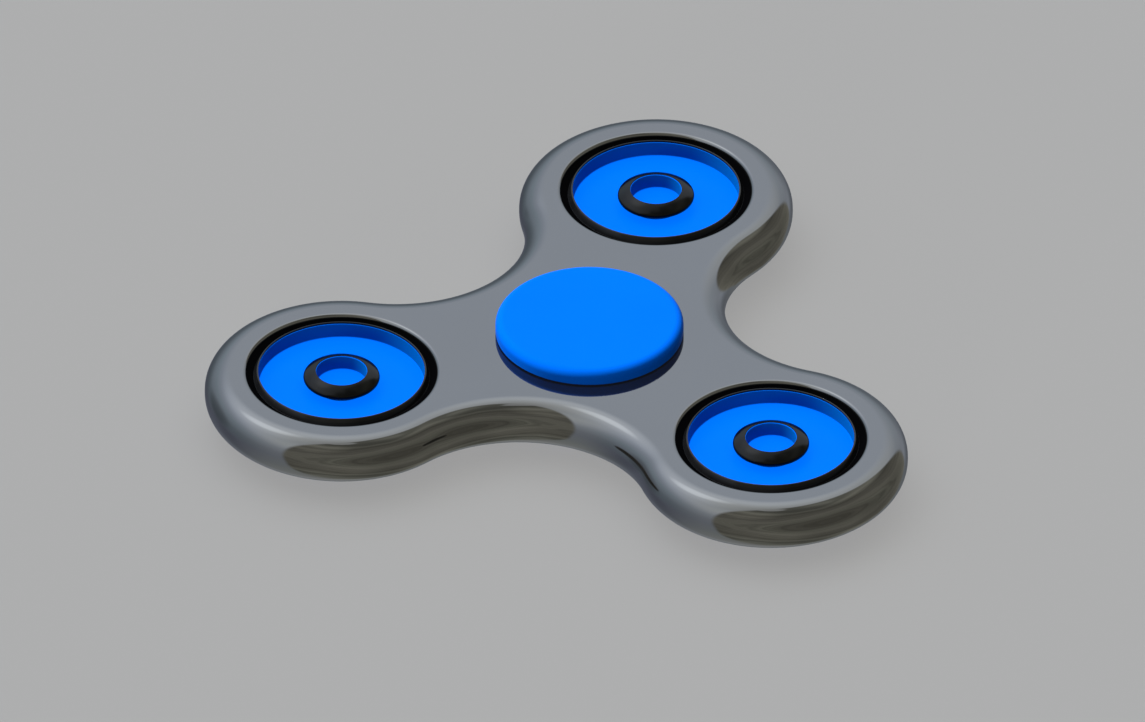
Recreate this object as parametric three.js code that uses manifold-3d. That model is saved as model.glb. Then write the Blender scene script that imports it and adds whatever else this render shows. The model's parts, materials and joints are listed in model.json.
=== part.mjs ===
// Three-lobed fidget spinner, in millimetres, +Z up.
// It lies on its lower finger cap: the origin is on the spin axis, on that cap's flat face.
// A metal frame carries four shielded ball bearings, one in the centre and one in each lobe. The
// centre one's outer race is slimmer, so that the finger caps cover it. The two caps are joined
// through its bore and hold its inner race.

import * as THREE from 'three';
import { mergeVertices } from 'three/addons/utils/BufferGeometryUtils.js';
import Module from 'manifold-3d';

const manifold = await Module();
manifold.setup();

// ---- Driving dimensions ------------------------------------------------------------------------

const ARM = 30;                    // spin axis to each lobe's bearing axis
const LOBE_RADIUS = 16;            // frame's outline around a lobe bearing
const WAIST_RADIUS = 15;           // hollow arc that joins two lobes
const FRAME_HEIGHT = 6;
const EDGE_FILLET = 2.85;          // the frame's outer edge is nearly a full round
const FIRST_LOBE_ANGLE = 90;       // degrees from +X; the others follow every 120

const RACE_RADIUS = 11;            // 22 mm bearing in each lobe
const CENTRE_RACE_RADIUS = 10.5;   // 21 mm bearing under the caps
const RACE_WINDOW = 9.73;          // inner radius of the visible ring
const RACE_LIP_HEIGHT = 0.25;      // bead's crest to the lip's underside, which traps the shield
const BEAD_CREST = 9.85;           // outer edge of the raised bead's crest, around the window
const BEAD_FOOT = 10.3;            // radius of the foot of the bead's outer slope
const BEAD_FOOT_DEPTH = 0.8;       // bearing face down to that foot
const BEAD_BREAK = 0.09;           // small chamfer of the crest's inner edge
const SHOULDER_DEPTH = 0.45;       // bearing face down to the race's outer edge
const SEAT_GAP = 0.12;             // bearing to frame, all round
const HOLE_CHAMFER = 0.42;
const CENTRE_HOLE_CHAMFER = 0.15;

const SHIELD_DEPTH = 2.1;          // bearing face down to the shield's floor
const SHIELD_SHEET = 0.2;
const SHIELD_WALL = 0.2;
const SHIELD_HOLE = 3.2;           // clears the turning bush or stem

const BALL_RADIUS = 0.5;
const BALL_COUNT = 7;
const PITCH_RADIUS = 7;            // circle of ball centres
const SHOULDER_GAP = 0.35;         // pitch circle to a race's shoulder
const INNER_GROOVE = 6.44;
const OUTER_GROOVE = 7.62;
const CAGE_HALF_WIDTH = 0.25;
const CAGE_TOP = 0.65;             // above the bearing's middle plane
const CAGE_BOTTOM = -0.25;
const POCKET_RADIUS = 0.58;

const BORE_RADIUS = 3.15;          // inner race
const BUSH_RADIUS = 3.1;           // the bush's, and the cap stems'
const BUSH_WINDOW = 2.95;
const BUSH_SINK = 0.15;            // bearing face down to the bush's rim
const BUSH_DEPTH = 1.88;           // bearing face down to the bush's floor
const COLLAR_WINDOW = 3;
const COLLAR_LIP = 0.1;            // thickness of the collar over the bush's rim
const COLLAR_RADIUS = 4.48;
const COLLAR_EDGE_ROUND = 0.36;
const COLLAR_EDGE_DEPTH = 0.93;    // bearing face down to the collar's widest circle

const CAP_RADIUS = 11;
const CAP_GAP = 0.15;              // running clearance, frame to cap
const CAP_RISE = 2;                // frame face to the cap's flat face
const CAP_FILLET = 1;
const CAP_BREAK = 0.08;            // small chamfer of the cap's lower edge
const STEM_GAP = 0.05;             // each stem ends this far from the middle plane
const PIN_RADIUS = 1.75;
const PIN_REACH = 2;               // pin's end beyond the middle plane
const SOCKET_RADIUS = 1.85;
const SOCKET_REACH = 2.3;

const CLOSE = 0.05;                // gap between faces that are pressed together
const RACE_SEGMENTS = 24;
const BUSH_SEGMENTS = 16;
const CAP_SEGMENTS = 28;

const half = FRAME_HEIGHT / 2;
const middle = half + CAP_RISE;    // height of the frame's middle plane above the resting face
const shieldFloor = half - SHIELD_DEPTH;
const shieldUnder = shieldFloor - SHIELD_SHEET;
const raceFace = shieldUnder - CLOSE;

// ---- Materials ---------------------------------------------------------------------------------

const finishes = {
  polishedMetal: { color: 0x7c848d, roughness: 0.22, metalness: 1.0 },
  blackMetal: { color: 0x08090a, roughness: 0.25, metalness: 0.4 },
  blue: { color: 0x027afd, roughness: 0.3, metalness: 0.0 },
  steel: { color: 0xc8ccd0, roughness: 0.1, metalness: 1.0 },
  brass: { color: 0xb08d4a, roughness: 0.35, metalness: 1.0 },
};

function namedMesh(name, geometry, finish) {
  const mesh = new THREE.Mesh(geometry, new THREE.MeshStandardMaterial(finishes[finish]));
  mesh.name = name;
  return mesh;
}

// ---- Shape helpers -----------------------------------------------------------------------------

// A solid of revolution about Z. The profile is a list of [radius, height]; one that starts off the
// axis closes on itself.
function lathe(profile, segments) {
  const points = profile.map(([radius, height]) => new THREE.Vector2(radius, height));
  if (profile[0][0] > 0) {
    points.push(points[0].clone());
  }
  const geometry = new THREE.LatheGeometry(points, segments);
  geometry.rotateX(Math.PI / 2);
  return geometry;
}

// Points of a quarter-round or any other arc in a profile, both ends included.
function arc(radius, height, round, from, to, steps) {
  const points = [];
  for (let i = 0; i <= steps; i += 1) {
    const angle = THREE.MathUtils.degToRad(from + ((to - from) * i) / steps);
    points.push([radius + round * Math.cos(angle), height + round * Math.sin(angle)]);
  }
  return points;
}

// The same profile upside down, listed so that it carries on from the upper half.
function mirrored(profile) {
  return profile.map(([radius, height]) => [radius, -height]).reverse();
}

function toSolid(geometry) {
  const bare = geometry.clone();
  bare.deleteAttribute('normal');
  bare.deleteAttribute('uv');
  const merged = mergeVertices(bare);
  return new manifold.Manifold(new manifold.Mesh({
    numProp: 3,
    vertProperties: new Float32Array(merged.attributes.position.array),
    triVerts: new Uint32Array(merged.index.array),
  }));
}

function toGeometry(solid) {
  const mesh = solid.getMesh();
  const geometry = new THREE.BufferGeometry();
  geometry.setAttribute('position', new THREE.BufferAttribute(mesh.vertProperties, 3));
  geometry.setIndex(new THREE.BufferAttribute(mesh.triVerts, 1));
  return geometry;
}

function cut(geometry, cutters) {
  let solid = toSolid(geometry);
  for (const cutter of cutters) {
    solid = solid.subtract(toSolid(cutter));
  }
  return toGeometry(solid);
}

function onCircle(radius, degrees) {
  const angle = THREE.MathUtils.degToRad(degrees);
  return [radius * Math.cos(angle), radius * Math.sin(angle)];
}

// ---- Frame -------------------------------------------------------------------------------------

const lobeAngles = [0, 1, 2].map((i) => FIRST_LOBE_ANGLE + 120 * i);

// Three convex arcs around the lobes, joined by three hollow arcs that are tangent to both
// neighbours, each centred on the line midway between two lobes.
function outline() {
  const reach = LOBE_RADIUS + WAIST_RADIUS;
  const waistCentre = ARM / 2 + Math.sqrt(reach * reach - (3 * ARM * ARM) / 4);
  const waistTurn = 2 * Math.asin((ARM * Math.sqrt(3)) / 2 / reach);
  const lobeTurn = waistTurn + (2 * Math.PI) / 3;
  const points = [];
  for (const degrees of lobeAngles) {
    const lobe = THREE.MathUtils.degToRad(degrees);
    const waist = lobe + Math.PI / 3;
    const [lobeX, lobeY] = onCircle(ARM, degrees);
    const [waistX, waistY] = onCircle(waistCentre, degrees + 60);
    const outer = new THREE.EllipseCurve(lobeX, lobeY, LOBE_RADIUS, LOBE_RADIUS,
      lobe - lobeTurn / 2, lobe + lobeTurn / 2, false);
    const hollow = new THREE.EllipseCurve(waistX, waistY, WAIST_RADIUS, WAIST_RADIUS,
      waist + Math.PI + waistTurn / 2, waist + Math.PI - waistTurn / 2, true);
    points.push(...outer.getPoints(18).slice(0, -1), ...hollow.getPoints(9).slice(0, -1));
  }
  return points;
}

function holeCutter(x, y, raceRadius, chamfer) {
  const radius = raceRadius + SEAT_GAP;
  const past = 1;
  const flared = radius + chamfer + past;
  const upper = [[radius, half - chamfer], [flared, half + past]];
  const cutter = lathe([[0, -half - past], ...mirrored(upper), ...upper, [0, half + past]],
    RACE_SEGMENTS);
  cutter.translate(x, y, 0);
  return cutter;
}

function frameGeometry() {
  const blank = new THREE.ExtrudeGeometry(new THREE.Shape(outline()), {
    depth: FRAME_HEIGHT - 2 * EDGE_FILLET,
    bevelEnabled: true,
    bevelThickness: EDGE_FILLET,
    bevelSize: EDGE_FILLET,
    bevelOffset: -EDGE_FILLET,
    bevelSegments: 4,
  });
  blank.translate(0, 0, EDGE_FILLET - half);
  const holes = lobeAngles.map((angle) => {
    const [x, y] = onCircle(ARM, angle);
    return holeCutter(x, y, RACE_RADIUS, HOLE_CHAMFER);
  });
  return cut(blank, [holeCutter(0, 0, CENTRE_RACE_RADIUS, CENTRE_HOLE_CHAMFER), ...holes]);
}

// ---- Bearing -----------------------------------------------------------------------------------

// Black ring: a shoulder that falls inward to the foot of a raised bead, a groove under the bead
// that traps each shield, and a web that reaches in to the balls.
function outerRaceGeometry(radius) {
  const groove = RACE_WINDOW + SHIELD_WALL + CLOSE;
  const lip = half - RACE_LIP_HEIGHT;
  const upper = [
    [radius, half - SHOULDER_DEPTH],
    [BEAD_FOOT, half - BEAD_FOOT_DEPTH],
    [BEAD_CREST, half],
    [RACE_WINDOW + BEAD_BREAK, half],
    [RACE_WINDOW, half - BEAD_BREAK],
    [RACE_WINDOW, lip],
    [groove, lip],
    [groove, raceFace],
    [PITCH_RADIUS + SHOULDER_GAP, raceFace],
  ];
  return lathe([...upper, [OUTER_GROOVE, 0], ...mirrored(upper)], RACE_SEGMENTS);
}

function innerRaceGeometry() {
  const shoulder = PITCH_RADIUS - SHOULDER_GAP;
  return lathe([
    [BORE_RADIUS, -raceFace],
    [shoulder, -raceFace],
    [INNER_GROOVE, 0],
    [shoulder, raceFace],
    [BORE_RADIUS, raceFace],
  ], RACE_SEGMENTS);
}

// Blue dish: a thin annular floor and a wall that stands up under the race's lip.
function shieldGeometry() {
  const wallOutside = RACE_WINDOW + SHIELD_WALL;
  const wallTop = half - RACE_LIP_HEIGHT - CLOSE;
  return lathe([
    [SHIELD_HOLE, shieldUnder],
    [wallOutside, shieldUnder],
    [wallOutside, wallTop],
    [RACE_WINDOW, wallTop],
    [RACE_WINDOW, shieldFloor],
    [SHIELD_HOLE, shieldFloor],
  ], RACE_SEGMENTS);
}

function ballGeometry(radius) {
  const ball = new THREE.SphereGeometry(radius, 8, 4);
  ball.rotateX(Math.PI / 2);
  return ball;
}

function ballPlace(index) {
  return onCircle(PITCH_RADIUS, (360 * index) / BALL_COUNT);
}

// Crown cage: a ring above the balls, with fingers between them.
function cageGeometry() {
  const inner = PITCH_RADIUS - CAGE_HALF_WIDTH;
  const outer = PITCH_RADIUS + CAGE_HALF_WIDTH;
  const ring = lathe([
    [inner, CAGE_BOTTOM],
    [outer, CAGE_BOTTOM],
    [outer, CAGE_TOP],
    [inner, CAGE_TOP],
  ], RACE_SEGMENTS);
  const pockets = [];
  for (let index = 0; index < BALL_COUNT; index += 1) {
    const pocket = ballGeometry(POCKET_RADIUS);
    pocket.translate(...ballPlace(index), 0);
    pockets.push(pocket);
  }
  return cut(ring, pockets);
}

function bearing(name, raceRadius) {
  const group = new THREE.Group();
  const shieldTop = namedMesh(`${name}_shield_top`, shieldGeometry(), 'blue');
  const shieldBottom = namedMesh(`${name}_shield_bottom`, shieldGeometry(), 'blue');
  shieldBottom.rotation.x = Math.PI;
  group.add(
    namedMesh(`${name}_outer_race`, outerRaceGeometry(raceRadius), 'blackMetal'),
    namedMesh(`${name}_inner_race`, innerRaceGeometry(), 'blackMetal'),
    namedMesh(`${name}_cage`, cageGeometry(), 'brass'),
    shieldTop,
    shieldBottom,
  );
  for (let index = 0; index < BALL_COUNT; index += 1) {
    const ball = namedMesh(`${name}_ball_${index + 1}`, ballGeometry(BALL_RADIUS), 'steel');
    ball.position.set(...ballPlace(index), 0);
    group.add(ball);
  }
  return group;
}

// ---- Lobe bore ---------------------------------------------------------------------------------

// Blue bush: a tube through the inner race, closed by a thick web.
function bushGeometry() {
  const upper = [
    [BUSH_RADIUS, half - BUSH_SINK],
    [BUSH_WINDOW, half - BUSH_SINK],
    [BUSH_WINDOW, half - BUSH_DEPTH],
    [0, half - BUSH_DEPTH],
  ];
  return lathe([...mirrored(upper), ...upper], BUSH_SEGMENTS);
}

// Black domed ring pressed over the bush's end, with a lip that hides the end.
function collarGeometry() {
  const bore = BUSH_RADIUS + CLOSE;
  const edge = arc(COLLAR_RADIUS - COLLAR_EDGE_ROUND, half - COLLAR_EDGE_DEPTH, COLLAR_EDGE_ROUND,
    -90, 60, 3);
  return lathe([
    [bore, half - COLLAR_EDGE_DEPTH - COLLAR_EDGE_ROUND],
    ...edge,
    [COLLAR_WINDOW, half],
    [COLLAR_WINDOW, half - COLLAR_LIP],
    [bore, half - COLLAR_LIP],
  ], BUSH_SEGMENTS);
}

function lobeBearing(index) {
  const name = `lobe_${index + 1}`;
  const group = bearing(name, RACE_RADIUS);
  const collarTop = namedMesh(`${name}_collar_top`, collarGeometry(), 'blackMetal');
  const collarBottom = namedMesh(`${name}_collar_bottom`, collarGeometry(), 'blackMetal');
  collarBottom.rotation.x = Math.PI;
  group.add(namedMesh(`${name}_bush`, bushGeometry(), 'blue'), collarTop, collarBottom);
  group.position.set(...onCircle(ARM, lobeAngles[index]), 0);
  return group;
}

// ---- Finger caps -------------------------------------------------------------------------------

// The disc's outline from the stem's root, out along the underside and round the rim to the axis.
function capDisc() {
  const under = half + CAP_GAP;
  const face = half + CAP_RISE;
  return [
    [BUSH_RADIUS, STEM_GAP],
    [BUSH_RADIUS, under],
    [CAP_RADIUS - CAP_BREAK, under],
    [CAP_RADIUS, under + CAP_BREAK],
    ...arc(CAP_RADIUS - CAP_FILLET, face - CAP_FILLET, CAP_FILLET, 0, 90, 4),
    [0, face],
  ];
}

function topCapGeometry() {
  return lathe([[0, -PIN_REACH], [PIN_RADIUS, -PIN_REACH], [PIN_RADIUS, STEM_GAP], ...capDisc()],
    CAP_SEGMENTS);
}

function bottomCapGeometry() {
  return lathe([[0, SOCKET_REACH], [SOCKET_RADIUS, SOCKET_REACH], [SOCKET_RADIUS, STEM_GAP],
    ...capDisc()], CAP_SEGMENTS);
}

// ---- Assembly ----------------------------------------------------------------------------------

const spinner = new THREE.Group();
spinner.position.z = middle;

const capBottom = namedMesh('cap_bottom', bottomCapGeometry(), 'blue');
capBottom.rotation.x = Math.PI;
spinner.add(
  namedMesh('frame', frameGeometry(), 'polishedMetal'),
  namedMesh('cap_top', topCapGeometry(), 'blue'),
  capBottom,
  bearing('centre', CENTRE_RACE_RADIUS),
);
lobeAngles.forEach((angle, index) => spinner.add(lobeBearing(index)));

export default spinner;
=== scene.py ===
import json
import math

import bmesh
import bpy
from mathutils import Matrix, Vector

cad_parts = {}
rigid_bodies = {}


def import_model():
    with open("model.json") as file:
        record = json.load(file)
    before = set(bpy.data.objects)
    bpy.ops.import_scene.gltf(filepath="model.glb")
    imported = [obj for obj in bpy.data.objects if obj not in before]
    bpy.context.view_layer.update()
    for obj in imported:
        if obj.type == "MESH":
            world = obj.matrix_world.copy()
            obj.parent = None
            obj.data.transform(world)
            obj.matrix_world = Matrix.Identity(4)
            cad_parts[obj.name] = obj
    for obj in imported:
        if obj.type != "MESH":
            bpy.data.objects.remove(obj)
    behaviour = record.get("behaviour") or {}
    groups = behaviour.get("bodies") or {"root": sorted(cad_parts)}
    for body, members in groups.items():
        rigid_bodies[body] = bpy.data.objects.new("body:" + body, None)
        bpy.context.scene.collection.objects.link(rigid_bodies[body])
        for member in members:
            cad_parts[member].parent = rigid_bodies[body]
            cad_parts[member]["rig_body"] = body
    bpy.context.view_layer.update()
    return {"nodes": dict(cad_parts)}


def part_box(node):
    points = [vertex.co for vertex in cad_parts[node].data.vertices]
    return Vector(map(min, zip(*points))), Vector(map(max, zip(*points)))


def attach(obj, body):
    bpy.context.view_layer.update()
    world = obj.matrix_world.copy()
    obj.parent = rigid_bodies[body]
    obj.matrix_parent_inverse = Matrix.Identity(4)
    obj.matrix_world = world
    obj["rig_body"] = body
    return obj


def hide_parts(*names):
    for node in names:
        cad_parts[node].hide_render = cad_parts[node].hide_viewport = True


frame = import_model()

# Fidget spinner: a polished three-lobed frame, four shielded bearings and two finger caps.
# Profiles are in millimetres as (radius, height) from each piece's own middle plane, where the
# upper face of the frame is at HALF. Objects are in metres.

MM = 0.001

# ---- Dimensions: the CAD model's, with finer roundings -----------------------------------------

ARM = 30.0
LOBE_RADIUS = 16.0
WAIST_RADIUS = 15.0
HALF = 3.0
EDGE_FILLET = 2.85
FIRST_LOBE_ANGLE = 90.0

HOLE_RADIUS = 11.12
HOLE_ROUND = 0.42
CENTRE_HOLE_RADIUS = 10.62            # the centre bearing is slimmer, so that the caps cover it
CENTRE_HOLE_ROUND = 0.15
SEAT_GRIP = 0.01                      # an outer race is pressed this far into its hole

RACE_WINDOW = 9.73
RACE_LIP_HEIGHT = 0.25
BEAD_CREST = 9.9
BEAD_CREST_ROUND = 0.16
BEAD_INNER_ROUND = 0.07
BEAD_FOOT = 10.3
BEAD_FOOT_DEPTH = 0.8
SHOULDER_DEPTH = 0.45
SHOULDER_ROUND = 0.04

SHIELD_DEPTH = 2.1
SHIELD_SHEET = 0.2
SHIELD_WALL = 0.2
SHIELD_HOLE = 3.2
SHIELD_BEND_OUTSIDE = 0.15
SHIELD_BEND_INSIDE = 0.12

BALL_RADIUS = 0.5
BALL_COUNT = 7
PITCH_RADIUS = 7.0
SHOULDER_GAP = 0.35                   # from the pitch circle to each race's shoulder
GROOVE_ROUND = 0.56
GROOVE_REACH = 0.42                   # half the groove's width
CAGE_HALF_WIDTH = 0.25
CAGE_TOP = 0.65
CAGE_BOTTOM = -0.25
CAGE_TOP_ROUND = 0.06
CAGE_BOTTOM_ROUND = 0.04
POCKET_RADIUS = 0.58

BORE_RADIUS = 3.15
BUSH_RADIUS = 3.1
BUSH_WINDOW = 2.95
BUSH_SINK = 0.15
BUSH_DEPTH = 1.88
BUSH_FLOOR_ROUND = 0.12
COLLAR_WINDOW = 3.0
COLLAR_LIP = 0.1
COLLAR_RADIUS = 4.48
COLLAR_EDGE_ROUND = 0.36
COLLAR_EDGE_DEPTH = 0.93
COLLAR_EDGE_TURN = math.radians(60)   # where the round edge gives way to the dome
COLLAR_BELLY = 0.05                   # how far the dome swells above a straight cone
COLLAR_CREST_ROUND = 0.055

CAP_RADIUS = 11.0
CAP_GAP = 0.15
CAP_RISE = 2.0
CAP_FILLET = 1.0
CAP_BREAK = 0.08
STEM_GAP = 0.05
STEM_ROOT_ROUND = 0.3
STEM_END_ROUND = 0.15
PIN_RADIUS = 1.75
PIN_REACH = 2.0
SOCKET_RADIUS = 1.85
SOCKET_REACH = 2.3
PIN_ROUND = 0.2                       # of the pin's end and of the socket's floor

CLOSE = 0.05                          # gap between pieces that fit closely
FINE_BREAK = 0.05                     # rounding of a sharp machined or moulded edge
TINY_BREAK = 0.02                     # the same on a thin lip

SHIELD_FLOOR = HALF - SHIELD_DEPTH
SHIELD_UNDER = SHIELD_FLOOR - SHIELD_SHEET
RACE_FACE = SHIELD_UNDER - CLOSE

LOBES = ("lobe_1", "lobe_2", "lobe_3")
BEARINGS = ("centre",) + LOBES

# ---- Mesh helpers ------------------------------------------------------------------------------

LATHE_SEGMENTS = 128
SMALL_SEGMENTS = 96
CAGE_SEGMENTS = 18 * BALL_COUNT       # each pocket meets the same facets
BALL_CELLS = 10                       # quads along each side of the cube that is swelled
POCKET_CELLS = 8
CUT_WELD = 0.001                      # points nearer than this become one
ARC_STEP = math.radians(9)            # a rounding turns by at most this much per facet
HOLD = 0.04                           # a long straight run gets a loop this near to its ends
HOLD_FROM = 0.25                      # runs longer than this get them
SHARP_ANGLE = math.radians(32)


def lerp(a, b, t):
    return a + (b - a) * t


def on_circle(radius, turn):
    return radius * math.cos(turn), radius * math.sin(turn)


def rounded(corners):
    """Profile points of a closed run of (radius, height, rounding) corners.

    A corner on the axis ends the run, so the profile is open there."""
    count = len(corners)
    points = []
    for index, (radius, height, rounding) in enumerate(corners):
        corner = Vector((radius, height))
        if rounding == 0:
            points.append(corner)
            continue
        before = Vector(corners[index - 1][:2]) - corner
        after = Vector(corners[(index + 1) % count][:2]) - corner
        before.normalize()
        after.normalize()
        inner = before.angle(after)
        reach = rounding / math.tan(inner / 2)
        centre = corner + (before + after).normalized() * (rounding / math.sin(inner / 2))
        start = corner + before * reach - centre
        turn = start.angle_signed(corner + after * reach - centre)
        steps = max(2, math.ceil(abs(turn) / ARC_STEP))
        for step in range(steps + 1):
            angle = -turn * step / steps
            points.append(centre + Vector((
                start.x * math.cos(angle) - start.y * math.sin(angle),
                start.x * math.sin(angle) + start.y * math.cos(angle),
            )))
    return points


def held(points, closed):
    """The same run with a point close to each end of its long straight parts."""
    result = []
    last = len(points) if closed else len(points) - 1
    for index in range(last):
        start = points[index]
        end = points[(index + 1) % len(points)]
        result.append(start)
        length = (end - start).length
        if length > HOLD_FROM:
            result.append(start.lerp(end, HOLD / length))
            result.append(end.lerp(start, HOLD / length))
    if not closed:
        result.append(points[-1])
    return result


def upside_down(corners):
    """The same corners upside down, listed so that they carry on from the upper half."""
    return [(radius, -height, rounding) for radius, height, rounding in reversed(corners)]


def finish_mesh(name, mesh_edit):
    bmesh.ops.recalc_face_normals(mesh_edit, faces=mesh_edit.faces)
    mesh = bpy.data.meshes.new(name)
    mesh_edit.to_mesh(mesh)
    mesh_edit.free()
    mesh.shade_smooth()
    mesh.set_sharp_from_angle(angle=SHARP_ANGLE)
    return mesh


def join_loops(mesh_edit, first, second):
    """Faces between two rings of vertices, or between a ring and one vertex on the axis."""
    count = max(len(first), len(second))
    for index in range(count):
        following = (index + 1) % count
        quad = [first[index % len(first)], first[following % len(first)],
                second[following % len(second)], second[index % len(second)]]
        mesh_edit.faces.new(list(dict.fromkeys(quad)))


def lathe(name, corners, segments=LATHE_SEGMENTS):
    """A solid of revolution about Z from rounded profile corners."""
    closed = corners[0][0] > 0
    profile = held(rounded(corners), closed)
    mesh_edit = bmesh.new()
    loops = []
    for radius, height in profile:
        around = segments if radius > 0 else 1
        loop = []
        for index in range(around):
            x, y = on_circle(radius, 2 * math.pi * index / around)
            loop.append(mesh_edit.verts.new((x * MM, y * MM, height * MM)))
        loops.append(loop)
    for index in range(len(loops) - 1):
        join_loops(mesh_edit, loops[index], loops[index + 1])
    if closed:
        join_loops(mesh_edit, loops[-1], loops[0])
    return finish_mesh(name, mesh_edit)


def add_sphere(mesh_edit, centre, radius, cells):
    """A sphere of even quads: a cube's sides, each divided into cells, swelled outward."""
    verts = {}

    def vert(key):
        if key not in verts:
            # equal angles across each cube side keep the quads even
            spread = Vector([math.tan((step / cells - 0.5) * math.pi / 2) for step in key])
            verts[key] = mesh_edit.verts.new((Vector(centre) + spread.normalized() * radius) * MM)
        return verts[key]

    for axis in range(3):
        for side in (0, cells):
            for across in range(cells):
                for along in range(cells):
                    quad = []
                    for i, j in ((0, 0), (1, 0), (1, 1), (0, 1)):
                        key = [across + i, along + j]
                        key.insert(axis, side)
                        quad.append(vert(tuple(key)))
                    mesh_edit.faces.new(quad)


# ---- Frame -------------------------------------------------------------------------------------

LOBE_STEPS = 84
WAIST_STEPS = 42
EDGE_STEPS = 16
HOLE_STEPS = 8

lobe_turns = [math.radians(FIRST_LOBE_ANGLE + 120 * index) for index in range(3)]
holes = [((0.0, 0.0), CENTRE_HOLE_RADIUS, CENTRE_HOLE_ROUND)]
holes += [(on_circle(ARM, turn), HOLE_RADIUS, HOLE_ROUND) for turn in lobe_turns]


def outline(inset):
    """The frame's outline moved inward: lobes shrink and waists grow, so points stay matched."""
    reach = LOBE_RADIUS + WAIST_RADIUS
    waist_centre = ARM / 2 + math.sqrt(reach ** 2 - 3 * ARM ** 2 / 4)
    waist_turn = 2 * math.asin(ARM * math.sqrt(3) / 2 / reach)
    lobe_turn = waist_turn + 2 * math.pi / 3
    points = []
    for lobe in lobe_turns:
        waist = lobe + math.pi / 3
        lobe_start = lobe - lobe_turn / 2
        waist_start = waist + math.pi + waist_turn / 2
        runs = (
            (on_circle(ARM, lobe), LOBE_RADIUS - inset, lobe_start, lobe_turn, LOBE_STEPS),
            (on_circle(waist_centre, waist), WAIST_RADIUS + inset,
             waist_start, -waist_turn, WAIST_STEPS),
        )
        for (x, y), radius, start, turn, steps in runs:
            for step in range(steps):
                dx, dy = on_circle(radius, start + turn * step / steps)
                points.append((x + dx, y + dy))
    return points


def circle(centre, radius):
    points = []
    for index in range(LATHE_SEGMENTS):
        dx, dy = on_circle(radius, 2 * math.pi * index / LATHE_SEGMENTS)
        points.append((centre[0] + dx, centre[1] + dy))
    return points


def quarter(radius, steps):
    """(how far in from the wall, how far down from the face) along a quarter round."""
    turns = [math.pi / 2 * step / steps for step in range(steps + 1)]
    return [(radius * (1 - math.sin(turn)), radius * (1 - math.cos(turn))) for turn in turns]


def frame_mesh():
    mesh_edit = bmesh.new()

    def wall(ring, profile):
        """Rings from the upper face down to the lower one. ring(inset) gives a ring's points."""
        upper = [(inset, HALF - drop) for inset, drop in profile]
        lower = [(inset, -height) for inset, height in reversed(upper)]
        loops = [
            [mesh_edit.verts.new((x * MM, y * MM, height * MM)) for x, y in ring(inset)]
            for inset, height in upper + lower
        ]
        for index in range(len(loops) - 1):
            join_loops(mesh_edit, loops[index], loops[index + 1])
        return loops[0], loops[-1]

    edge = quarter(EDGE_FILLET, EDGE_STEPS)
    rims = [wall(outline, [(EDGE_FILLET + HOLD, 0.0)] + edge)]
    for centre, radius, rounding in holes:
        rim = quarter(rounding, HOLE_STEPS)
        rim = [(rounding + HOLD, 0.0)] + rim + [(0.0, rounding + HOLD)]
        rims.append(wall(lambda inset, at=centre, size=radius: circle(at, size + inset), rim))
    for side in (0, 1):
        borders = []
        for pair in rims:
            loop = pair[side]
            for index, vert in enumerate(loop):
                borders.append(mesh_edit.edges.get((vert, loop[(index + 1) % len(loop)])))
        bmesh.ops.triangle_fill(mesh_edit, use_beauty=True, edges=borders)
    return finish_mesh("frame_fine", mesh_edit)


# ---- Bearings and caps -------------------------------------------------------------------------

GROOVE_STEPS = 8
COLLAR_EDGE_STEPS = 16
COLLAR_DOME_STEPS = 8


def groove(towards):
    """Corners of a ball groove's arc, from the top down. towards is +1 for an outer race."""
    half_turn = math.asin(GROOVE_REACH / GROOVE_ROUND)
    corners = []
    for step in range(GROOVE_STEPS + 1):
        across, height = on_circle(GROOVE_ROUND, lerp(half_turn, -half_turn, step / GROOVE_STEPS))
        corners.append((PITCH_RADIUS + towards * across, height, 0))
    return corners


def outer_race_profile(radius):
    """From the seat inward: a shoulder that falls to a bead, the shield's recess, the groove."""
    recess = RACE_WINDOW + SHIELD_WALL + CLOSE
    upper = [
        (radius, HALF - SHOULDER_DEPTH, SHOULDER_ROUND),
        (BEAD_FOOT, HALF - BEAD_FOOT_DEPTH, SHOULDER_ROUND),
        (BEAD_CREST, HALF, BEAD_CREST_ROUND),
        (RACE_WINDOW, HALF, BEAD_INNER_ROUND),
        (RACE_WINDOW, HALF - RACE_LIP_HEIGHT, TINY_BREAK),
        (recess, HALF - RACE_LIP_HEIGHT, 0),
        (recess, RACE_FACE, 0),
        (PITCH_RADIUS + SHOULDER_GAP, RACE_FACE, FINE_BREAK),
    ]
    return upper + groove(1) + upside_down(upper)


def inner_race_profile():
    shoulder = PITCH_RADIUS - SHOULDER_GAP
    return [
        (BORE_RADIUS, -RACE_FACE, FINE_BREAK),
        (BORE_RADIUS, RACE_FACE, FINE_BREAK),
        (shoulder, RACE_FACE, FINE_BREAK),
        *groove(-1),
        (shoulder, -RACE_FACE, FINE_BREAK),
    ]


def shield_profile():
    wall_outside = RACE_WINDOW + SHIELD_WALL
    wall_top = HALF - RACE_LIP_HEIGHT - CLOSE
    return [
        (SHIELD_HOLE, SHIELD_UNDER, FINE_BREAK),
        (wall_outside, SHIELD_UNDER, SHIELD_BEND_OUTSIDE),
        (wall_outside, wall_top, TINY_BREAK),
        (RACE_WINDOW, wall_top, TINY_BREAK),
        (RACE_WINDOW, SHIELD_FLOOR, SHIELD_BEND_INSIDE),
        (SHIELD_HOLE, SHIELD_FLOOR, FINE_BREAK),
    ]


def bush_profile():
    rim = HALF - BUSH_SINK
    upper = [
        (BUSH_RADIUS, rim, FINE_BREAK),
        (BUSH_WINDOW, rim, FINE_BREAK),
        (BUSH_WINDOW, HALF - BUSH_DEPTH, BUSH_FLOOR_ROUND),
        (0, HALF - BUSH_DEPTH, 0),
    ]
    return upside_down(upper) + upper


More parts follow.
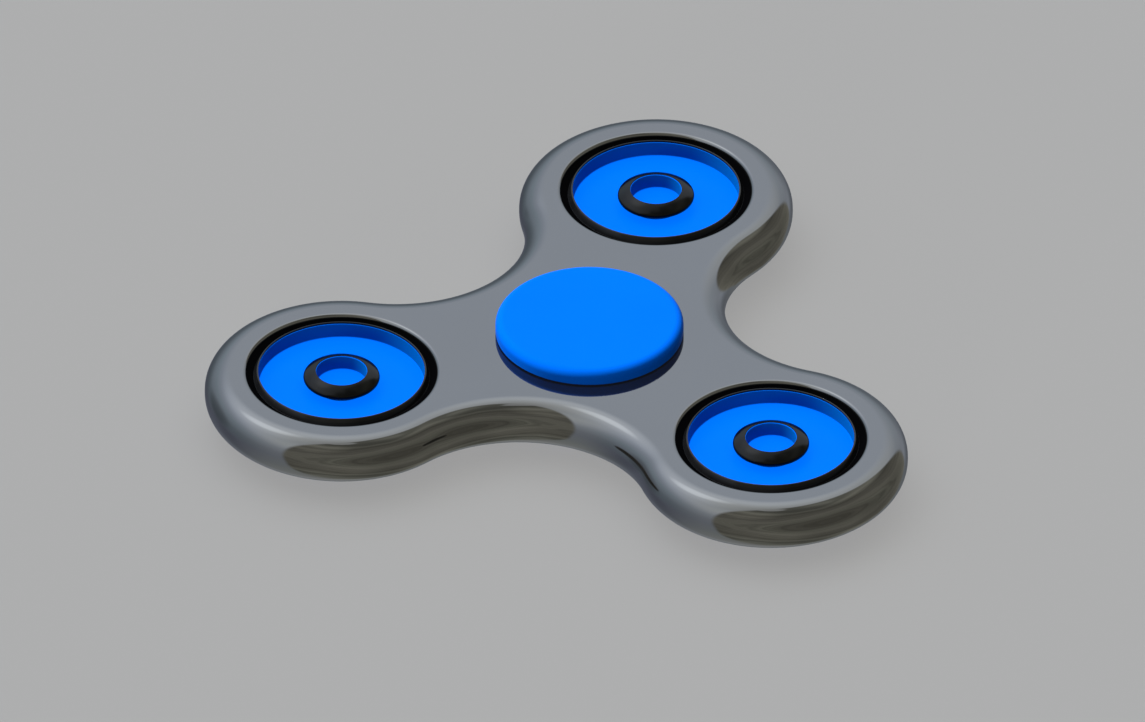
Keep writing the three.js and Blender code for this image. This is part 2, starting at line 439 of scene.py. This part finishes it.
def collar_profile():
    """A round outer edge, then a slightly swollen dome that rises to a crest at the window."""
    bore = BUSH_RADIUS + CLOSE
    underside = HALF - COLLAR_EDGE_DEPTH - COLLAR_EDGE_ROUND
    edge_middle = Vector((COLLAR_RADIUS - COLLAR_EDGE_ROUND, HALF - COLLAR_EDGE_DEPTH))
    edge = []
    for step in range(COLLAR_EDGE_STEPS + 1):
        turn = lerp(-math.pi / 2, COLLAR_EDGE_TURN, step / COLLAR_EDGE_STEPS)
        edge.append(edge_middle + Vector(on_circle(COLLAR_EDGE_ROUND, turn)))
    crest = Vector((COLLAR_WINDOW, HALF))
    slope = (crest - edge[-1]).normalized()
    outward = Vector((slope.y, -slope.x))
    dome = []
    for step in range(1, COLLAR_DOME_STEPS):
        along = step / COLLAR_DOME_STEPS
        swell = COLLAR_BELLY * math.sin(math.pi * along)
        dome.append(edge[-1].lerp(crest, along) + outward * swell)
    return [
        (bore, underside, FINE_BREAK),
        *((*point, 0) for point in edge + dome),
        (COLLAR_WINDOW, HALF, COLLAR_CREST_ROUND),
        (COLLAR_WINDOW, HALF - COLLAR_LIP, TINY_BREAK),
        (bore, HALF - COLLAR_LIP, 0),
    ]


def cap_profile(reach, radius):
    """A cap with its stem. reach is the height of the pin's end or of the socket's floor."""
    face = HALF + CAP_RISE
    under = HALF + CAP_GAP
    return [
        (0, reach, 0),
        (radius, reach, PIN_ROUND),
        (radius, STEM_GAP, FINE_BREAK),
        (BUSH_RADIUS, STEM_GAP, STEM_END_ROUND),
        (BUSH_RADIUS, under, STEM_ROOT_ROUND),
        (CAP_RADIUS, under, CAP_BREAK),
        (CAP_RADIUS, face, CAP_FILLET),
        (0, face, 0),
    ]


def ball_mesh():
    mesh_edit = bmesh.new()
    add_sphere(mesh_edit, (0, 0, 0), BALL_RADIUS, BALL_CELLS)
    return finish_mesh("ball_fine", mesh_edit)


def cage_mesh():
    """A crown: a ring above the balls with fingers between them, cut by the ball pockets."""
    inner = PITCH_RADIUS - CAGE_HALF_WIDTH
    outer = PITCH_RADIUS + CAGE_HALF_WIDTH
    ring = bpy.data.objects.new("ring", lathe("ring", [
        (inner, CAGE_BOTTOM, CAGE_BOTTOM_ROUND),
        (outer, CAGE_BOTTOM, CAGE_BOTTOM_ROUND),
        (outer, CAGE_TOP, CAGE_TOP_ROUND),
        (inner, CAGE_TOP, CAGE_TOP_ROUND),
    ], CAGE_SEGMENTS))
    mesh_edit = bmesh.new()
    for index in range(BALL_COUNT):
        x, y = on_circle(PITCH_RADIUS, 2 * math.pi * index / BALL_COUNT)
        add_sphere(mesh_edit, (x, y, 0), POCKET_RADIUS, POCKET_CELLS)
    pockets = bpy.data.objects.new("pockets", finish_mesh("pockets", mesh_edit))
    for obj in (ring, pockets):
        bpy.context.scene.collection.objects.link(obj)
    cut = ring.modifiers.new("pockets", "BOOLEAN")
    cut.object = pockets
    cut.operation = "DIFFERENCE"
    cut.solver = "EXACT"
    mesh_edit = bmesh.new()
    mesh_edit.from_object(ring, bpy.context.evaluated_depsgraph_get())
    for obj in (ring, pockets):
        bpy.data.objects.remove(obj)
    # the cut leaves a few points almost on top of each other
    bmesh.ops.remove_doubles(mesh_edit, verts=mesh_edit.verts, dist=CUT_WELD * MM)
    bmesh.ops.dissolve_degenerate(mesh_edit, dist=CUT_WELD * MM, edges=mesh_edit.edges)
    bmesh.ops.triangulate(mesh_edit, faces=mesh_edit.faces)
    return finish_mesh("cage_fine", mesh_edit)


# ---- Materials ---------------------------------------------------------------------------------


def linear(red, green, blue):
    """Display values from 0 to 255 as a linear colour."""
    def channel(value):
        value /= 255
        return value / 12.92 if value <= 0.04045 else ((value + 0.055) / 1.055) ** 2.4
    return channel(red), channel(green), channel(blue), 1.0


class Nodes:
    """Short ways to add and link nodes in one node tree."""

    def __init__(self, tree):
        self.tree = tree
        tree.nodes.clear()

    def add(self, kind, links=(), **values):
        node = self.tree.nodes.new(kind)
        for key, value in values.items():
            setattr(node, key, value)
        for key, value in dict(links).items():
            socket = node.inputs[key]
            if isinstance(value, bpy.types.NodeSocket):
                self.tree.links.new(value, socket)
            else:
                socket.default_value = value
        return node

    def math(self, operation, first, second=0.0, third=0.0):
        node = self.add("ShaderNodeMath", {0: first, 1: second, 2: third}, operation=operation)
        return node.outputs[0]

    def remap(self, value, low, high, to_low=0.0, to_high=1.0, smooth=False):
        node = self.add("ShaderNodeMapRange", {
            "Value": value, "From Min": low, "From Max": high, "To Min": to_low, "To Max": to_high,
        }, interpolation_type="SMOOTHSTEP" if smooth else "LINEAR")
        return node.outputs["Result"]

    def noise(self, vector, scale, detail):
        node = self.add("ShaderNodeTexNoise", {
            "Vector": vector, "Scale": scale, "Detail": detail, "Roughness": 0.55,
        })
        return node.outputs["Fac"]

    def noise_along(self, value, scale, detail):
        """Noise that changes with one value only, which gives bands."""
        node = self.add("ShaderNodeTexNoise", {"W": value, "Scale": scale, "Detail": detail},
                        noise_dimensions="1D")
        return node.outputs["Fac"]

    def length(self, *parts):
        """The length of a vector of two parts."""
        squares = [self.math("POWER", part, 2.0) for part in parts]
        return self.math("SQRT", self.math("ADD", *squares))

    def ramp(self, value, stops):
        node = self.add("ShaderNodeValToRGB", {"Fac": value})
        elements = node.color_ramp.elements
        while len(elements) < len(stops):
            elements.new(1.0)
        for element, (place, _) in zip(elements, stops):
            element.position = place
        for element, (_, colour) in zip(elements, stops):
            element.color = colour
        return node.outputs["Color"]

    def mix(self, factor, first, second, blend="MIX"):
        node = self.add("ShaderNodeMix", {"Factor": factor}, data_type="RGBA", blend_type=blend)
        for socket, value in ((node.inputs[6], first), (node.inputs[7], second)):
            if isinstance(value, bpy.types.NodeSocket):
                self.tree.links.new(value, socket)
            else:
                socket.default_value = value
        return node.outputs[2]


def scaled(colour, factor):
    return tuple(channel * factor for channel in colour[:3]) + (1.0,)


def material(name, fixed, build):
    """A Principled material from inputs by socket name.

    fixed holds those that are the same all over, build(nodes, position) returns the others."""
    made = bpy.data.materials.new(name)
    made.use_nodes = True
    nodes = Nodes(made.node_tree)
    position = nodes.add("ShaderNodeTexCoord").outputs["Object"]
    shader = nodes.add("ShaderNodeBsdfPrincipled", {**fixed, **build(nodes, position)})
    nodes.add("ShaderNodeOutputMaterial", {"Surface": shader.outputs["BSDF"]})
    return made


def bump(nodes, height, strength, distance):
    return nodes.add("ShaderNodeBump", {
        "Height": height, "Strength": strength, "Distance": distance,
    }).outputs["Normal"]


# A noise texture's values keep mostly within this range.
NOISE_LOW = 0.3
NOISE_HIGH = 0.7

WIPE_TURNS = (0.5, 2.2)               # directions of the wiping scratches
WIPE_STRETCH = (60.0, 2600.0, 400.0)
WIPE_RANGE = (0.66, 0.74)             # only the noise's peaks are scratches
WIPE_ROUGHNESS = 0.035
TURNED_STRETCH = (300.0, 300.0, 9000.0)
SMUDGE_SHADES = (0.7, 1.3)            # darkest and lightest, as parts of the base colour
DRIFT_SHADES = (0.985, 1.015)
UPRIGHT_LIMIT = 0.75                  # a normal's height from which a wall counts as a face

# Bumps: strength, and height in metres.
SCRATCH_BUMP = (0.02, 0.00002)
RING_BUMP = (0.03, 0.00001)
PEBBLE_BUMP = (0.05, 0.00002)
GRAIN_BUMP = (0.1, 0.00001)


def polished_metal(name, light, dark, roughness, metallic=1.0):
    """Mirror-polished metal: faint cloudy tarnish and fine wiping scratches in two directions."""
    def build(nodes, position):
        cloud = nodes.noise(position, scale=55.0, detail=3.0)
        wiped = []
        for turn in WIPE_TURNS:
            mapped = nodes.add("ShaderNodeMapping", {
                "Vector": position, "Rotation": (0.0, 0.0, turn), "Scale": WIPE_STRETCH,
            }).outputs["Vector"]
            streaks = nodes.noise(mapped, scale=1.0, detail=2.0)
            wiped.append(nodes.remap(streaks, *WIPE_RANGE))
        scratch = nodes.math("MAXIMUM", *wiped)
        polish = nodes.remap(cloud, NOISE_LOW, NOISE_HIGH, *roughness)
        worn = nodes.math("MULTIPLY_ADD", scratch, WIPE_ROUGHNESS, polish)
        return {
            "Base Color": nodes.ramp(cloud, [(NOISE_LOW, dark), (NOISE_HIGH, light)]),
            "Roughness": worn,
            "Normal": bump(nodes, scratch, *SCRATCH_BUMP),
        }
    return material(name, {"Metallic": metallic}, build)


def black_gloss(name, colour, roughness, level):
    """Blackened steel, with turned micro-rings and faint smudges. level is its gloss."""
    def build(nodes, position):
        parts = nodes.add("ShaderNodeSeparateXYZ", {"Vector": position}).outputs
        radius = nodes.length(parts["X"], parts["Y"])
        rings = nodes.noise_along(radius, scale=9000.0, detail=2.0)
        smudge = nodes.noise(position, scale=320.0, detail=4.0)
        dark, light = (scaled(colour, shade) for shade in SMUDGE_SHADES)
        return {
            "Base Color": nodes.ramp(smudge, [(NOISE_LOW, dark), (NOISE_HIGH, light)]),
            "Roughness": nodes.remap(smudge, NOISE_LOW, NOISE_HIGH, *roughness),
            "Normal": bump(nodes, rings, *RING_BUMP),
        }
    return material(name, {"Specular IOR Level": level}, build)


def moulded_blue(name, colour, roughness, wall):
    """Moulded plastic: fine pebble, slight colour drift, and painted shade that colours walls
    darker than faces.
    """
    def build(nodes, position):
        pebble = nodes.noise(position, scale=2600.0, detail=3.0)
        drift = nodes.noise(position, scale=90.0, detail=2.0)
        dark, light = (scaled(colour, shade) for shade in DRIFT_SHADES)
        face = nodes.ramp(drift, [(NOISE_LOW, dark), (NOISE_HIGH, light)])
        # painted shade: where the normal lies flat, the face colour gives way to the darker wall
        # colour
        normal = nodes.add("ShaderNodeNewGeometry").outputs["Normal"]
        upright = nodes.add("ShaderNodeSeparateXYZ", {"Vector": normal}).outputs["Z"]
        level = nodes.remap(nodes.math("ABSOLUTE", upright), 0.0, UPRIGHT_LIMIT, smooth=True)
        return {
            "Base Color": nodes.mix(level, wall, face),
            "Roughness": nodes.remap(pebble, NOISE_LOW, NOISE_HIGH, *roughness),
            "Normal": bump(nodes, pebble, *PEBBLE_BUMP),
        }
    return material(name, {"Specular IOR Level": BLUE_SPECULAR}, build)


def turned_metal(name, light, dark, roughness):
    """Turned metal: rings of slightly different shade along the axis."""
    def build(nodes, position):
        stretched = nodes.add("ShaderNodeMapping", {
            "Vector": position, "Scale": TURNED_STRETCH,
        }).outputs["Vector"]
        grain = nodes.noise(stretched, scale=1.0, detail=3.0)
        return {
            "Base Color": nodes.ramp(grain, [(NOISE_LOW, dark), (NOISE_HIGH, light)]),
            "Roughness": nodes.remap(grain, NOISE_LOW, NOISE_HIGH, *roughness),
            "Normal": bump(nodes, grain, *GRAIN_BUMP),
        }
    return material(name, {"Metallic": 1.0}, build)


METAL_REFLECTANCE = 0.14              # gunmetal: a bright room mirrored dimly
FRAME_LIGHT = scaled((METAL_REFLECTANCE, METAL_REFLECTANCE, METAL_REFLECTANCE), 0.93)
FRAME_DARK = scaled(FRAME_LIGHT, 0.97)
FRAME_METALLIC = 0.97
STEEL_LIGHT = (0.66, 0.67, 0.68, 1.0)
STEEL_DARK = (0.6, 0.61, 0.62, 1.0)
BRASS_LIGHT = (0.62, 0.44, 0.16, 1.0)
BRASS_DARK = (0.5, 0.34, 0.11, 1.0)
BEAD_BLACK = (0.007, 0.0075, 0.0085, 1.0)
COLLAR_BLACK = (0.0008, 0.0009, 0.001, 1.0)
# partly painted shade: near-black and barely reflective, so the groove outside the bead reads as
# deep shade
SEAT_BLACK_AND_SHADE = (0.0006, 0.0006, 0.0008, 1.0)
BLACK_ROUGHNESS = (0.12, 0.18)
BLUE = (0.0, 0.118, 0.7, 1.0)
# painted shade: the dish's walls are coloured darker than its faces
BLUE_WALL_SHADE = (0.0, 0.115, 0.36, 1.0)
BLUE_ROUGHNESS = (0.3, 0.4)
BLUE_SPECULAR = 0.008

frame_metal = polished_metal(
    "polished_metal", FRAME_LIGHT, FRAME_DARK, (0.03, 0.05), FRAME_METALLIC)
ball_steel = polished_metal("ball_steel", STEEL_LIGHT, STEEL_DARK, (0.04, 0.08))
brass = turned_metal("turned_brass", BRASS_LIGHT, BRASS_DARK, (0.25, 0.4))
race_black = black_gloss("blackened_steel", BEAD_BLACK, BLACK_ROUGHNESS, level=0.17)
collar_black = black_gloss("collar_black", COLLAR_BLACK, BLACK_ROUGHNESS, level=0.12)
seat_black_and_shade = black_gloss("matt_black_and_shade", SEAT_BLACK_AND_SHADE, (0.8, 0.9), level=0.01)
cap_blue = moulded_blue("cap_blue", BLUE, BLUE_ROUGHNESS, BLUE)
dish_blue = moulded_blue("dish_blue", BLUE, BLUE_ROUGHNESS, BLUE_WALL_SHADE)

# ---- Pieces ------------------------------------------------------------------------------------

frame_low, frame_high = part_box("frame")
middle = (frame_low.z + frame_high.z) / 2


def stand_for(node, mesh, flipped=False):
    """Puts a fine mesh where the CAD node is, on the node's own body, in place of the node."""
    low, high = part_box(node)
    piece = bpy.data.objects.new(node + "_fine", mesh)
    bpy.context.scene.collection.objects.link(piece)
    if node == "frame":
        # its box reaches further towards lobe 1, so the box's centre is off the spin axis
        piece.location = (0, 0, middle)
    else:
        piece.location = ((low.x + high.x) / 2, (low.y + high.y) / 2, middle)
    if flipped:
        piece.rotation_euler = (math.pi, 0, 0)
    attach(piece, frame["nodes"][node]["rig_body"])
    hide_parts(node)


def dressed(mesh, finish):
    """The same mesh with its material."""
    mesh.materials.append(finish)
    return mesh


def outer_race(name, radius):
    """A glossy race whose shoulder, outside the bead, is matt and near-black: the race's matt
    seat, with painted shade of the groove around the bead.
    """
    mesh = dressed(lathe(name, outer_race_profile(radius)), race_black)
    mesh.materials.append(seat_black_and_shade)
    for face in mesh.polygons:
        beyond = math.hypot(face.center.x, face.center.y) / MM > BEAD_FOOT
        face.material_index = 1 if beyond else 0
    return mesh


centre_race = outer_race("centre_race_fine", CENTRE_HOLE_RADIUS + SEAT_GRIP)
lobe_race = outer_race("lobe_race_fine", HOLE_RADIUS + SEAT_GRIP)

inner_race = dressed(lathe("inner_race_fine", inner_race_profile()), race_black)
cage = dressed(cage_mesh(), brass)
ball = dressed(ball_mesh(), ball_steel)
shield = dressed(lathe("shield_fine", shield_profile()), dish_blue)
bush = dressed(lathe("bush_fine", bush_profile(), SMALL_SEGMENTS), dish_blue)
collar = dressed(lathe("collar_fine", collar_profile(), SMALL_SEGMENTS), collar_black)
cap_top = dressed(lathe("cap_top_fine", cap_profile(-PIN_REACH, PIN_RADIUS)), cap_blue)
cap_bottom = dressed(lathe("cap_bottom_fine", cap_profile(SOCKET_REACH, SOCKET_RADIUS)), cap_blue)

stand_for("frame", dressed(frame_mesh(), frame_metal))
stand_for("cap_top", cap_top)
stand_for("cap_bottom", cap_bottom, flipped=True)
for bearing in BEARINGS:
    race = centre_race if bearing == "centre" else lobe_race
    stand_for(bearing + "_outer_race", race)
    stand_for(bearing + "_inner_race", inner_race)
    stand_for(bearing + "_cage", cage)
    stand_for(bearing + "_shield_top", shield)
    stand_for(bearing + "_shield_bottom", shield, flipped=True)
    for index in range(BALL_COUNT):
        stand_for(f"{bearing}_ball_{index + 1}", ball)
for lobe in LOBES:
    stand_for(lobe + "_bush", bush)
    stand_for(lobe + "_collar_top", collar)
    stand_for(lobe + "_collar_bottom", collar, flipped=True)

# ---- Floor, light and camera -------------------------------------------------------------------

FLOOR_RADIUS = 4.0
FLOOR_SEGMENTS = 64
FLOOR_COLOUR = (0.229, 0.229, 0.229, 1.0)
BACKDROP = (0.418, 0.422, 0.4235, 1.0)  # the colour of the lit floor
AMBIENT = 0.25                        # how much of the mirrored room lights matt surfaces

# Suns: azimuth, elevation, strength, angle across, and whether the sun casts shadows.
KEY_SUN = (169, 55, 5.25, 10, False)
TOP_SUN = (105, 80, 0.6, 90, True)
FILL_SUN = (-95, 4, 0.75, 20, True)

# The room's cool side: display colours by elevation, as polished metal shows them.
COOL_CENTRE = (
    (-90, (88, 88, 88)), (-70, (83, 85, 90)), (-50, (68, 72, 80)), (-30, (65, 68, 78)),
    (-10, (71, 79, 86)), (0, (77, 85, 92)), (10, (89, 97, 105)), (20, (98, 108, 116)),
    (30, (113, 120, 130)), (40, (133, 140, 151)), (50, (146, 152, 162)), (62, (150, 156, 165)),
    (80, (138, 140, 142)), (90, (105, 106, 104)),
)
COOL_EDGE = (
    (-90, (88, 88, 88)), (-60, (93, 96, 95)), (-20, (88, 92, 98)), (0, (93, 97, 103)),
    (20, (108, 113, 119)), (35, (128, 132, 136)), (45, (134, 138, 140)), (60, (130, 134, 137)),
    (75, (116, 119, 120)), (90, (95, 96, 94)),
)
COOL_MIDDLE = (0.1, 0.85)             # from the edge's colours to the centre's, by cosine
LAMP_TINT = (0.93, 0.97, 1.0)

# Round spots: azimuth, elevation, angle from middle to rim, and the light that is added there
# (lamps) or the factor on it (shades).
COOL_LAMPS = ((148, 59, 14, 1.25), (136, 66, 36, 0.52))
COOL_SHADES = (
    (168, -4, 22, 0.62), (108, -20, 46, 0.4), (145, -38, 45, 0.68), (75, -45, 38, 0.45),
)
WARM_SHADES = (
    (272, -50, 40, 1.4), (38, -22, 40, 0.72), (48, 60, 25, 1.7), (252, 60, 25, 1.7),
)

# The room's warm side: rings like the grain of a board.
WARM_AZIMUTH = -29
WARM_EDGE = (-0.08, 0.0)              # from the cool side to the warm one, by cosine
ZENITH_EDGE = (86.0, 83.0)            # straight up is cool, so flat metal is grey from above
RING_TILT = -9
RING_LENGTH = 0.97                    # half the long axis of the ring at place 1
RING_WIDTH = 0.59
RING_WANDER = 0.35                    # how far noise pushes the rings in and out
WARM_RINGS = (
    (0.0, (56, 55, 50)), (0.3, (58, 57, 51)), (0.6, (65, 64, 58)), (0.8, (72, 72, 65)),
    (1.0, (81, 80, 73)), (1.15, (71, 70, 64)), (1.35, (64, 63, 57)), (1.6, (66, 66, 60)),
    (1.8, (75, 76, 71)),
)
RING_RANGE = 2.0                      # the rings' places run from 0 to this
STREAK_SCALE = 9.0
STREAK_SHADES = (0.76, 1.24)


def add_floor():
    mesh_edit = bmesh.new()
    bmesh.ops.create_circle(mesh_edit, cap_ends=True, segments=FLOOR_SEGMENTS, radius=FLOOR_RADIUS)
    mesh = bpy.data.meshes.new("floor")
    mesh_edit.to_mesh(mesh)
    mesh_edit.free()
    floor = bpy.data.objects.new("floor", mesh)
    bpy.context.scene.collection.objects.link(floor)
    paint = bpy.data.materials.new("floor_paint")
    paint.use_nodes = True
    nodes = Nodes(paint.node_tree)
    shader = nodes.add("ShaderNodeBsdfDiffuse", {"Color": FLOOR_COLOUR})
    nodes.add("ShaderNodeOutputMaterial", {"Surface": shader.outputs[0]})
    mesh.materials.append(paint)
    # the polished metal mirrors the studio below the horizon, not the floor
    floor.visible_glossy = False


def direction(azimuth, elevation):
    turn, lift = math.radians(azimuth), math.radians(elevation)
    return Vector((*on_circle(math.cos(lift), turn), math.sin(lift)))


def add_sun(name, azimuth, elevation, strength, softness, shadow):
    sun = bpy.data.lights.new(name, "SUN")
    sun.energy = strength
    sun.angle = math.radians(softness)
    sun.use_shadow = shadow
    lamp = bpy.data.objects.new(name, sun)
    bpy.context.scene.collection.objects.link(lamp)
    lamp.rotation_mode = "QUATERNION"
    lamp.rotation_quaternion = direction(azimuth, elevation).to_track_quat("Z", "Y")
    lamp.visible_glossy = False


def mirrored_light(shown):
    """The light that the metal has to mirror to show a display colour."""
    return scaled(linear(*shown), 1 / METAL_REFLECTANCE)


class Room(Nodes):
    """Nodes that colour a room by the direction that is looked in."""

    def __init__(self, tree):
        super().__init__(tree)
        self.way = self.add("ShaderNodeTexCoord").outputs["Generated"]
        self.upward = self.along((0, 0, 1))
        self.lift = self.math("MULTIPLY", self.math("ARCSINE", self.upward), 180 / math.pi)

    def along(self, vector):
        dot = self.add("ShaderNodeVectorMath", {0: self.way, 1: vector}, operation="DOT_PRODUCT")
        return dot.outputs["Value"]

    def by_elevation(self, pairs):
        return self.ramp(self.remap(self.lift, -90.0, 90.0), [
            ((elevation + 90) / 180, mirrored_light(shown)) for elevation, shown in pairs
        ])

    def spot(self, azimuth, elevation, width):
        near = self.along(direction(azimuth, elevation))
        return self.remap(near, math.cos(math.radians(width)), 1.0, smooth=True)

    def shaded(self, colour, spots):
        for azimuth, elevation, width, keep in spots:
            kept = self.mix(1.0, colour, (keep, keep, keep, 1), "MULTIPLY")
            colour = self.mix(self.spot(azimuth, elevation, width), colour, kept)
        return colour


def cool_side(room):
    """Grey-blue, lighter above, with soft lamps."""
    toward_cool = room.along(direction(WARM_AZIMUTH + 180, 0))
    colour = room.mix(room.remap(toward_cool, *COOL_MIDDLE, smooth=True),
                      room.by_elevation(COOL_EDGE), room.by_elevation(COOL_CENTRE))
    for azimuth, elevation, width, strength in COOL_LAMPS:
        lit = room.mix(1.0, colour, scaled(LAMP_TINT, strength), "ADD")
        colour = room.mix(room.spot(azimuth, elevation, width), colour, lit)
    return room.shaded(colour, COOL_SHADES)


def warm_side(room):
    """Broad tilted rings, and finer streaks that follow them."""
    sideways = room.along(direction(WARM_AZIMUTH + 90, 0))
    tilt = math.radians(RING_TILT)
    long_way = room.math("MULTIPLY_ADD", room.upward, math.sin(tilt),
                         room.math("MULTIPLY", sideways, math.cos(tilt)))
    short_way = room.math("MULTIPLY_ADD", room.upward, math.cos(tilt),
                          room.math("MULTIPLY", sideways, -math.sin(tilt)))
    spread = room.length(room.math("DIVIDE", long_way, RING_LENGTH),
                         room.math("DIVIDE", short_way, RING_WIDTH))
    wander = room.math("SUBTRACT", room.noise(room.way, scale=1.6, detail=2.0), 0.5)
    spread = room.math("MULTIPLY_ADD", wander, RING_WANDER, spread)
    rings = room.ramp(room.math("MULTIPLY", spread, 1 / RING_RANGE), [
        (place / RING_RANGE, mirrored_light(shown)) for place, shown in WARM_RINGS
    ])
    streak = room.noise_along(spread, STREAK_SCALE, detail=3.0)
    shade = room.remap(streak, NOISE_LOW, NOISE_HIGH, *STREAK_SHADES)
    shades = room.add("ShaderNodeCombineColor", {"Red": shade, "Green": shade, "Blue": shade})
    return room.shaded(room.mix(1.0, rings, shades.outputs["Color"], "MULTIPLY"), WARM_SHADES)


def add_studio():
    """The room that the metal mirrors. It lights matt surfaces dimly, and the camera sees none."""
    world = bpy.data.worlds.new("studio")
    bpy.context.scene.world = world
    world.use_nodes = True
    room = Room(world.node_tree)
    toward_warm = room.along(direction(WARM_AZIMUTH, 0))
    warmth = room.math("MULTIPLY", room.remap(toward_warm, *WARM_EDGE, smooth=True),
                       room.remap(room.lift, *ZENITH_EDGE, smooth=True))
    mirrored = room.mix(warmth, cool_side(room), warm_side(room))
    dimmed = room.mix(1.0, mirrored, (AMBIENT, AMBIENT, AMBIENT, 1), "MULTIPLY")
    path = room.add("ShaderNodeLightPath").outputs
    seen = room.mix(path["Is Glossy Ray"], dimmed, mirrored)
    seen = room.mix(path["Is Camera Ray"], seen, BACKDROP)
    sky = room.add("ShaderNodeBackground", {"Color": seen, "Strength": 1.0})
    room.add("ShaderNodeOutputWorld", {"Surface": sky.outputs[0]})


add_floor()
add_studio()
add_sun("key", *KEY_SUN)
add_sun("top", *TOP_SUN)
add_sun("fill", *FILL_SUN)

# The photograph is an orthographic view: 15 degrees round from the front, 35.26 above.
CAMERA_AZIMUTH = 15.0
CAMERA_ELEVATION = math.degrees(math.asin(1 / math.sqrt(3)))
VIEW_WIDTH = 0.13381
CAMERA_REACH = 0.4
CAMERA_CLIP_END = 10.0
LOOK_LEFT = 1.989                     # from the object's middle to the picture's, in mm
LOOK_DOWN = 0.959


def add_camera():
    camera = bpy.data.cameras.new("camera")
    camera.type = "ORTHO"
    camera.ortho_scale = VIEW_WIDTH
    camera.clip_end = CAMERA_CLIP_END
    holder = bpy.data.objects.new("camera", camera)
    bpy.context.scene.collection.objects.link(holder)
    back = direction(CAMERA_AZIMUTH - 90, CAMERA_ELEVATION)
    right = direction(CAMERA_AZIMUTH, 0)
    up = back.cross(right)
    target = Vector((0, 0, middle)) - right * LOOK_LEFT * MM - up * LOOK_DOWN * MM
    holder.location = target + back * CAMERA_REACH
    holder.rotation_mode = "QUATERNION"
    holder.rotation_quaternion = back.to_track_quat("Z", "Y")
    bpy.context.scene.camera = holder


add_camera()
bpy.context.scene.view_settings.view_transform = "Standard"
